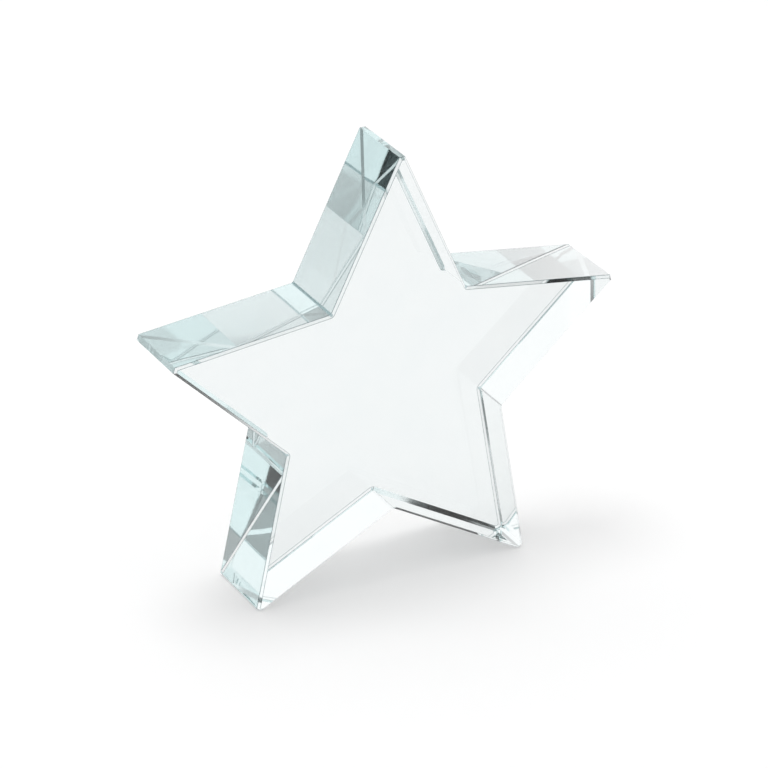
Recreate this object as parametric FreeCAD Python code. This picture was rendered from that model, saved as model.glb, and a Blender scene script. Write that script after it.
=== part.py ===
import FreeCAD
import Part
import math
import os

# Star award: one block of optical crystal, a five-pointed prism that stands on its two lower arms.
# Frame: X to the right across the star, Y from the front face to the back face, Z up.
# Origin: on the standing surface, midway between the feet and midway through the thickness.
# All lengths are in millimetres.

# Driving dimensions
ARM_COUNT = 5
THICKNESS = 25.0          # front face to back face
ARM_REACH = 75.5          # centre to the sharp point that an arm would run out to
INNER_RATIO = 0.486       # centre to an inner corner, as a share of ARM_REACH
TIP_BLUNT = 1.9           # length ground off each sharp point
INNER_RADIUS = 0.8        # polishing-wheel radius left in each inner corner
EDGE_CHAMFER = 0.8        # bevel along every edge of the front and back faces
FOOT_GRIND = 0.35         # depth of the level flat ground on each of the two lower arms
TOLERANCE = 1e-6

# Worked-out dimensions
ARM_STEP = math.radians(360.0 / ARM_COUNT)
FRONT_Y = -THICKNESS / 2.0
BACK_Y = THICKNESS / 2.0
BOX_HALF_SIDE = 2.0 * ARM_REACH     # half the side of a box that holds the star with room to spare


def arm_angle(index):
    """Direction of an arm's axis; arm 0 points straight up and the rest follow clockwise."""
    return math.radians(90.0) - index * ARM_STEP


def on_front(radius, angle):
    """Point in the plane of the front face, measured from the centre of the star."""
    return FreeCAD.Vector(radius * math.cos(angle), FRONT_Y, radius * math.sin(angle))


def prism(points):
    """Straight prism through the whole thickness, on a closed outline in the front plane."""
    outline = Part.makePolygon(points + [points[0]])
    return Part.Face(outline).extrude(FreeCAD.Vector(0.0, THICKNESS, 0.0))


def sharp_star():
    """Five-pointed prism with sharp tips and sharp inner corners."""
    points = []
    for index in range(ARM_COUNT):
        points.append(on_front(ARM_REACH, arm_angle(index)))
        points.append(on_front(INNER_RATIO * ARM_REACH, arm_angle(index + 0.5)))
    return prism(points)


def round_inner_corners(star):
    """Give the five inner corners the radius of the polishing wheel."""
    inner_edges = []
    for edge in star.Edges:
        middle = edge.CenterOfMass
        runs_through = abs(middle.y) < TOLERANCE
        distance = math.hypot(middle.x, middle.z)
        if runs_through and distance < 0.75 * ARM_REACH:
            inner_edges.append(edge)
    return star.makeFillet(INNER_RADIUS, inner_edges)


def blunting_pentagon():
    """Prism whose sides cross the arms square to their axes, TIP_BLUNT short of the points."""
    corner_radius = (ARM_REACH - TIP_BLUNT) / math.cos(ARM_STEP / 2.0)
    points = [on_front(corner_radius, arm_angle(index + 0.5)) for index in range(ARM_COUNT)]
    return prism(points)


def grind_feet(star):
    """Cut a level flat on the two lower arms and put those flats at height zero."""
    lowest = star.BoundBox.ZMin
    floor_height = lowest + FOOT_GRIND
    corner = FreeCAD.Vector(-BOX_HALF_SIDE, -BOX_HALF_SIDE, floor_height)
    above_floor = Part.makeBox(2.0 * BOX_HALF_SIDE, 2.0 * BOX_HALF_SIDE, 2.0 * BOX_HALF_SIDE, corner)
    ground = star.common(above_floor)
    ground.translate(FreeCAD.Vector(0.0, 0.0, -floor_height))
    return ground


def bevel_faces(star):
    """Bevel the whole outline of the front face and of the back face."""
    outline_edges = []
    for edge in star.Edges:
        box = edge.BoundBox
        on_front_face = box.YMax < FRONT_Y + TOLERANCE
        on_back_face = box.YMin > BACK_Y - TOLERANCE
        if on_front_face or on_back_face:
            outline_edges.append(edge)
    return star.makeChamfer(EDGE_CHAMFER, outline_edges)


def crystal_star():
    """The whole award, as one solid."""
    star = round_inner_corners(sharp_star())
    star = star.common(blunting_pentagon())
    star = grind_feet(star)
    return bevel_faces(star).Solids[0]


parts = {
    "crystal_star": crystal_star(),
}

os.makedirs("parts", exist_ok=True)
for node, shape in parts.items():
    shape.exportStep(os.path.join("parts", node + ".step"))
    box = shape.BoundBox
    print(node, "valid", shape.isValid(), "volume cm3", round(shape.Volume / 1000.0, 2))
    print("  x", round(box.XMin, 3), round(box.XMax, 3))
    print("  y", round(box.YMin, 3), round(box.YMax, 3))
    print("  z", round(box.ZMin, 3), round(box.ZMax, 3))
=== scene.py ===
import math

import bpy
from mathutils import Matrix, Vector


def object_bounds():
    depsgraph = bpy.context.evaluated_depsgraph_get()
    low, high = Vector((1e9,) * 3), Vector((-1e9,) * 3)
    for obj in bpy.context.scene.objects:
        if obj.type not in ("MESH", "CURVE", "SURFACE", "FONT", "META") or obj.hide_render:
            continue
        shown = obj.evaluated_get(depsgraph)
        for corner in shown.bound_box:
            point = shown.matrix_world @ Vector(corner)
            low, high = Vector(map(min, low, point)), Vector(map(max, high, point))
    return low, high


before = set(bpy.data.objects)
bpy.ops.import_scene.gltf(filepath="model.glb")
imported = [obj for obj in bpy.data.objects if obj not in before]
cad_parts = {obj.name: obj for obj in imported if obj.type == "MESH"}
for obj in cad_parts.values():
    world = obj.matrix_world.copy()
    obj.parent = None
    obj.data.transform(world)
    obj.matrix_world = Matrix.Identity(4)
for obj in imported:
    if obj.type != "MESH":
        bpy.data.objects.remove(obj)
cad_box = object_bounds()

MM = 0.001
WHITE = (1.0, 1.0, 1.0, 1.0)

# sockets of a Mix node: several share a name, so they are found by their place
MIX_FACTOR = 0
MIX_FLOAT_BASE = 2
MIX_FLOAT_OVER = 3
MIX_FLOAT_RESULT = 0
MIX_COLOUR_BASE = 6
MIX_COLOUR_OVER = 7
MIX_COLOUR_RESULT = 2

CAMERA_AZIMUTH = math.radians(-28.9)      # from straight in front, turned to the star's left
CAMERA_ELEVATION = math.radians(26.59)
CAMERA_ROLL = math.radians(1.37)
CAMERA_DISTANCE = 1134.5 * MM
CAMERA_TARGET = Vector((2.4 * MM, 0.0, 57.3 * MM))
CAMERA_LENS = 185.0                       # mm, on the default 36 mm sensor
CAMERA_CLIP_START = 0.01
CAMERA_CLIP_END = 100.0


def add_camera():
    towards_camera = Vector((
        math.sin(CAMERA_AZIMUTH) * math.cos(CAMERA_ELEVATION),
        -math.cos(CAMERA_AZIMUTH) * math.cos(CAMERA_ELEVATION),
        math.sin(CAMERA_ELEVATION),
    ))
    data = bpy.data.cameras.new("camera")
    data.lens = CAMERA_LENS
    data.clip_start = CAMERA_CLIP_START
    data.clip_end = CAMERA_CLIP_END
    camera = bpy.data.objects.new("camera", data)
    bpy.context.scene.collection.objects.link(camera)
    aim = towards_camera.to_track_quat("Z", "Y").to_matrix().to_4x4()
    roll = Matrix.Rotation(CAMERA_ROLL, 4, "Z")
    place = Matrix.Translation(CAMERA_TARGET + CAMERA_DISTANCE * towards_camera)
    camera.matrix_world = place @ aim @ roll
    bpy.context.scene.camera = camera


def sky_direction(azimuth, elevation):
    """Unit vector; azimuth 0 points behind the star (+Y), 90 to its right (+X)."""
    a = math.radians(azimuth)
    e = math.radians(elevation)
    return Vector((math.sin(a) * math.cos(e), math.cos(a) * math.cos(e), math.sin(e)))


# plain white surround with a few neutral cards, which give the glass its dark edges
SURROUND_BRIGHTNESS = 1.16
BACKDROP_BRIGHTNESS = 1.0
# each card: azimuth and elevation of its middle, half width and edge softness in degrees, brightness
STUDIO_CARDS = (
    (-170.0, 25.0, 40.0, 5.0, 0.45),      # the dimmer room behind the camera
    (-151.0, 27.0, 10.0, 2.0, 0.01),      # the camera and its stand
    (-90.0, 28.0, 28.0, 3.0, 0.01),       # black card at the star's left
    (-36.0, 5.0, 10.0, 4.0, 0.05),        # low black card behind the star, to its left
    (48.0, 0.0, 12.0, 3.0, 0.05),         # low black card behind the star, to its right
    (110.0, 50.0, 10.0, 3.0, 0.01),       # black card at the star's right
)


def smooth_mask(nodes, links, value, zero_at, one_at):
    ramp = nodes.new("ShaderNodeMapRange")
    ramp.interpolation_type = "SMOOTHSTEP"
    ramp.inputs["From Min"].default_value = zero_at
    ramp.inputs["From Max"].default_value = one_at
    links.new(value, ramp.inputs["Value"])
    return ramp.outputs["Result"]


def math_node(nodes, links, operation, *values):
    node = nodes.new("ShaderNodeMath")
    node.operation = operation
    for socket, value in zip(node.inputs, values):
        if isinstance(value, (int, float)):
            socket.default_value = value
        else:
            links.new(value, socket)
    return node.outputs[0]


def tint_over(nodes, links, mask, base, colour):
    mix = nodes.new("ShaderNodeMix")
    mix.data_type = "RGBA"
    links.new(mask, mix.inputs[MIX_FACTOR])
    if isinstance(base, tuple):
        mix.inputs[MIX_COLOUR_BASE].default_value = base
    else:
        links.new(base, mix.inputs[MIX_COLOUR_BASE])
    mix.inputs[MIX_COLOUR_OVER].default_value = colour
    return mix.outputs[MIX_COLOUR_RESULT]


def add_world():
    world = bpy.data.worlds.new("studio")
    bpy.context.scene.world = world
    world.use_nodes = True
    # the surround is nearly even, so it is sampled by the surfaces' own bounces, with less grain
    world.cycles.sampling_method = "NONE"
    nodes = world.node_tree.nodes
    links = world.node_tree.links
    nodes.clear()
    direction = nodes.new("ShaderNodeTexCoord").outputs["Generated"]
    brightness = SURROUND_BRIGHTNESS
    for azimuth, elevation, half_width, softness, card_brightness in STUDIO_CARDS:
        dot = nodes.new("ShaderNodeVectorMath")
        dot.operation = "DOT_PRODUCT"
        dot.inputs[1].default_value = sky_direction(azimuth, elevation)
        links.new(direction, dot.inputs[0])
        outside = math.cos(math.radians(half_width + softness))
        inside = math.cos(math.radians(half_width - softness))
        mix = nodes.new("ShaderNodeMix")
        card_mask = smooth_mask(nodes, links, dot.outputs["Value"], outside, inside)
        links.new(card_mask, mix.inputs[MIX_FACTOR])
        if isinstance(brightness, float):
            mix.inputs[MIX_FLOAT_BASE].default_value = brightness
        else:
            links.new(brightness, mix.inputs[MIX_FLOAT_BASE])
        mix.inputs[MIX_FLOAT_OVER].default_value = card_brightness
        brightness = mix.outputs[MIX_FLOAT_RESULT]
    studio = nodes.new("ShaderNodeBackground")
    studio.inputs["Color"].default_value = WHITE
    links.new(brightness, studio.inputs["Strength"])
    # the camera itself sees a plain white backdrop; reflections and refractions see the studio
    backdrop = nodes.new("ShaderNodeBackground")
    backdrop.inputs["Color"].default_value = WHITE
    backdrop.inputs["Strength"].default_value = BACKDROP_BRIGHTNESS
    switch = nodes.new("ShaderNodeMixShader")
    links.new(nodes.new("ShaderNodeLightPath").outputs["Is Camera Ray"], switch.inputs[0])
    links.new(studio.outputs[0], switch.inputs[1])
    links.new(backdrop.outputs[0], switch.inputs[2])
    out = nodes.new("ShaderNodeOutputWorld")
    links.new(switch.outputs[0], out.inputs["Surface"])


# overhead softbox: it makes the soft shadow under the star
LAMP_AZIMUTH = -49.0
LAMP_ELEVATION = 79.4
LAMP_DISTANCE = 1.5
LAMP_SIZE = 0.62
LAMP_POWER = 6.9


def add_lamp():
    data = bpy.data.lights.new("softbox", "AREA")
    data.shape = "DISK"
    data.size = LAMP_SIZE
    data.energy = LAMP_POWER
    lamp = bpy.data.objects.new("softbox", data)
    bpy.context.scene.collection.objects.link(lamp)
    towards_lamp = sky_direction(LAMP_AZIMUTH, LAMP_ELEVATION)
    aim = towards_lamp.to_track_quat("Z", "Y").to_matrix().to_4x4()
    lamp.matrix_world = Matrix.Translation(LAMP_DISTANCE * towards_lamp) @ aim
    lamp.visible_glossy = False
    lamp.visible_transmission = False


# one plain pale light table: the same even glow and the same pale colour everywhere, for every ray
FLOOR_RADIUS = 0.8
FLOOR_STEPS = 96
FLOOR_DROP = 0.05 * MM                    # keeps it just clear of the feet
FLOOR_ALBEDO = 0.55
FLOOR_GLOW = 0.40


def add_floor():
    mesh = bpy.data.meshes.new("floor")
    ring = []
    for step in range(FLOOR_STEPS):
        angle = 2 * math.pi * step / FLOOR_STEPS
        ring.append((FLOOR_RADIUS * math.cos(angle), FLOOR_RADIUS * math.sin(angle), 0.0))
    mesh.from_pydata(ring, [], [tuple(range(FLOOR_STEPS))])
    floor = bpy.data.objects.new("floor", mesh)
    floor.location.z = -FLOOR_DROP
    bpy.context.scene.collection.objects.link(floor)
    material = bpy.data.materials.new("floor")
    material.use_nodes = True
    bsdf = material.node_tree.nodes["Principled BSDF"]
    bsdf.inputs["Base Color"].default_value = (FLOOR_ALBEDO, FLOOR_ALBEDO, FLOOR_ALBEDO, 1.0)
    bsdf.inputs["Roughness"].default_value = 1.0
    bsdf.inputs["Specular IOR Level"].default_value = 0.0
    bsdf.inputs["Emission Color"].default_value = WHITE
    bsdf.inputs["Emission Strength"].default_value = FLOOR_GLOW
    floor.data.materials.append(material)


# crystal surface: flat polished faces with a faint haze and wave from the polishing wheel, a satin
# ground chamfer with a thin dark strip of painted shade along each side, and dull inner corners,
# which the wheel can't reach, darkened with painted shade
STAR_REACH = 75.5 * MM                    # centre to the point that an arm would run out to
STAR_TIP_BLUNT = 1.9 * MM
STAR_INNER = 0.486 * STAR_REACH           # centre to an inner corner
STAR_CENTRE_Z = cad_box[1][2] - (STAR_REACH - STAR_TIP_BLUNT)
ARM_STEP = 2 * math.pi / 5
CHAMFER_START = 11.7 * MM                 # |Y| where the wall ends and the chamfer begins
CHAMFER_END = 12.5 * MM                   # |Y| of the front and back faces
EDGE_SHADE_HALF_WIDTH = 0.16 * MM               # of the thin dark strip of painted shade along each chamfer edge
SEAM_RADIUS = 0.6 * MM                    # round an inner corner, of the dull patch and of its painted shade
EDGE_SHADE_CORE = 0.5                           # share of the dark strip's width at full strength
SEAM_CORE = 0.6                           # share of the corner patch's radius at full strength
# size of the surface normal's Y: 1 on a face, 0.71 on the chamfer, 0 on a wall
TILT_FACE = 0.95
TILT_CHAMFER_MOST = 0.90
TILT_CHAMFER_LEAST = 0.50
TILT_WALL = 0.40
CRYSTAL_IOR = 1.52
ABSORPTION_COLOUR = (0.20, 0.60, 0.615, 1.0)
ABSORPTION_DENSITY = 3.0
CLEAR_TINT = (0.93, 0.93, 0.93, 1.0)
HAZE_TINT = (0.915, 0.92, 0.922, 1.0)
EDGE_SHADE_TINT = (0.14, 0.18, 0.185, 1.0)
CORNER_SHADE_TINT = (0.30, 0.42, 0.44, 1.0)
CHAMFER_ROUGHNESS = 0.10
SEAM_ROUGHNESS = 0.25
SPECK_ROUGHNESS = 0.05
HAZE_SIZE = 14.0 * MM
HAZE_DETAIL = 3.0
HAZE_STARTS = 0.45                        # noise value where the haze begins
HAZE_FULL = 0.65
SPECK_SIZE = 0.6 * MM
SPECK_DETAIL = 2.0
SPECK_STARTS = 0.62
SPECK_FULL = 0.68
WAVE_SIZE = 25.0 * MM
WAVE_DETAIL = 0.0
WAVE_HEIGHT = 0.08 * MM


def noise_node(nodes, links, place, size, detail):
    noise = nodes.new("ShaderNodeTexNoise")
    noise.inputs["Scale"].default_value = 1.0 / size
    noise.inputs["Detail"].default_value = detail
    links.new(place, noise.inputs["Vector"])
    return noise.outputs["Fac"]


def length_node(nodes, links, first, second):
    join = nodes.new("ShaderNodeCombineXYZ")
    links.new(first, join.inputs[0])
    links.new(second, join.inputs[1])
    length = nodes.new("ShaderNodeVectorMath")
    length.operation = "LENGTH"
    links.new(join.outputs[0], length.inputs[0])
    return length.outputs["Value"]


def inner_corner_distance(nodes, links, x, z):
    """Distance from the nearest of the five inner corners, folded round the star's centre."""
    height = math_node(nodes, links, "SUBTRACT", z, STAR_CENTRE_Z)
    radius = length_node(nodes, links, x, height)
    angle = math_node(nodes, links, "ARCTAN2", x, height)
    folded = math_node(nodes, links, "WRAP", angle, ARM_STEP, 0.0)
    turn = math_node(nodes, links, "SUBTRACT", folded, ARM_STEP / 2)
    outward = math_node(nodes, links, "MULTIPLY", radius, math_node(nodes, links, "COSINE", turn))
    beyond = math_node(nodes, links, "SUBTRACT", outward, STAR_INNER)
    aside = math_node(nodes, links, "MULTIPLY", radius, math_node(nodes, links, "SINE", turn))
    return length_node(nodes, links, beyond, aside)


def crystal_material():
    material = bpy.data.materials.new("optical_crystal")
    material.use_nodes = True
    nodes = material.node_tree.nodes
    links = material.node_tree.links
    bsdf = nodes["Principled BSDF"]
    bsdf.inputs["IOR"].default_value = CRYSTAL_IOR
    bsdf.inputs["Transmission Weight"].default_value = 1.0
    place = nodes.new("ShaderNodeTexCoord").outputs["Object"]
    split = nodes.new("ShaderNodeSeparateXYZ")
    links.new(place, split.inputs[0])
    depth = math_node(nodes, links, "ABSOLUTE", split.outputs["Y"])
    facing = nodes.new("ShaderNodeSeparateXYZ")
    links.new(nodes.new("ShaderNodeNewGeometry").outputs["True Normal"], facing.inputs[0])
    tilt = math_node(nodes, links, "ABSOLUTE", facing.outputs["Y"])

    # the chamfer's normal leans half way between the wall and the face
    not_face = smooth_mask(nodes, links, tilt, TILT_FACE, TILT_CHAMFER_MOST)
    not_wall = smooth_mask(nodes, links, tilt, TILT_WALL, TILT_CHAMFER_LEAST)
    chamfer = math_node(nodes, links, "MULTIPLY", not_face, not_wall)

    # a thin dark strip of painted shade along both edges of the chamfer, where it meets the wall and
    # the face
    near_edge = 0.0
    for edge in (CHAMFER_START, CHAMFER_END):
        offset = math_node(nodes, links, "SUBTRACT", depth, edge)
        from_edge = math_node(nodes, links, "ABSOLUTE", offset)
        near = smooth_mask(nodes, links, from_edge, EDGE_SHADE_HALF_WIDTH, EDGE_SHADE_CORE * EDGE_SHADE_HALF_WIDTH)
        near_edge = math_node(nodes, links, "MAXIMUM", near, near_edge)
    corner_distance = inner_corner_distance(nodes, links, split.outputs["X"], split.outputs["Z"])
    near_corner = smooth_mask(nodes, links, corner_distance, SEAM_RADIUS, SEAM_CORE * SEAM_RADIUS)
    seam_and_corner_shade = math_node(nodes, links, "MULTIPLY", not_face, near_corner)
    edge_shade = math_node(nodes, links, "MULTIPLY", not_face, near_edge)

    haze_noise = noise_node(nodes, links, place, HAZE_SIZE, HAZE_DETAIL)
    haze = smooth_mask(nodes, links, haze_noise, HAZE_STARTS, HAZE_FULL)
    tint = tint_over(nodes, links, haze, CLEAR_TINT, HAZE_TINT)
    # painted shade: the base colour is darkened in a thin strip along each chamfer edge
    tint = tint_over(nodes, links, edge_shade, tint, EDGE_SHADE_TINT)
    # painted shade: the base colour is darkened round each inner corner, where the roughness is also
    # raised
    links.new(tint_over(nodes, links, seam_and_corner_shade, tint, CORNER_SHADE_TINT), bsdf.inputs["Base Color"])

    # satin chamfer, dull corner seams, and fine specks left by the polishing wheel
    speck_noise = noise_node(nodes, links, place, SPECK_SIZE, SPECK_DETAIL)
    speck = smooth_mask(nodes, links, speck_noise, SPECK_STARTS, SPECK_FULL)
    satin = math_node(nodes, links, "MULTIPLY", chamfer, CHAMFER_ROUGHNESS)
    ground = math_node(nodes, links, "MULTIPLY", seam_and_corner_shade, SEAM_ROUGHNESS)
    marked = math_node(nodes, links, "MULTIPLY", speck, SPECK_ROUGHNESS)
    dull = math_node(nodes, links, "MAXIMUM", satin, ground)
    rough = math_node(nodes, links, "MAXIMUM", dull, marked)
    links.new(rough, bsdf.inputs["Roughness"])

    bump = nodes.new("ShaderNodeBump")
    bump.inputs["Distance"].default_value = WAVE_HEIGHT
    bump.inputs["Strength"].default_value = 1.0
    links.new(noise_node(nodes, links, place, WAVE_SIZE, WAVE_DETAIL), bump.inputs["Height"])
    links.new(bump.outputs["Normal"], bsdf.inputs["Normal"])

    absorb = nodes.new("ShaderNodeVolumeAbsorption")
    absorb.inputs["Color"].default_value = ABSORPTION_COLOUR
    absorb.inputs["Density"].default_value = ABSORPTION_DENSITY
    links.new(absorb.outputs[0], nodes["Material Output"].inputs["Volume"])
    return material


def set_look():
    scene = bpy.context.scene
    scene.view_settings.view_transform = "Standard"
    scene.view_settings.look = "None"
    # the default blue-noise pattern leaves a dotted grain in the glass after denoising
    scene.cycles.sampling_pattern = "TABULATED_SOBOL"
    scene.cycles.max_bounces = 40
    scene.cycles.transmission_bounces = 32
    scene.cycles.glossy_bounces = 16
    scene.cycles.diffuse_bounces = 4


add_camera()
add_world()
add_lamp()
add_floor()
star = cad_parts["crystal_star"]
star.data.materials.clear()
star.data.materials.append(crystal_material())
set_look()
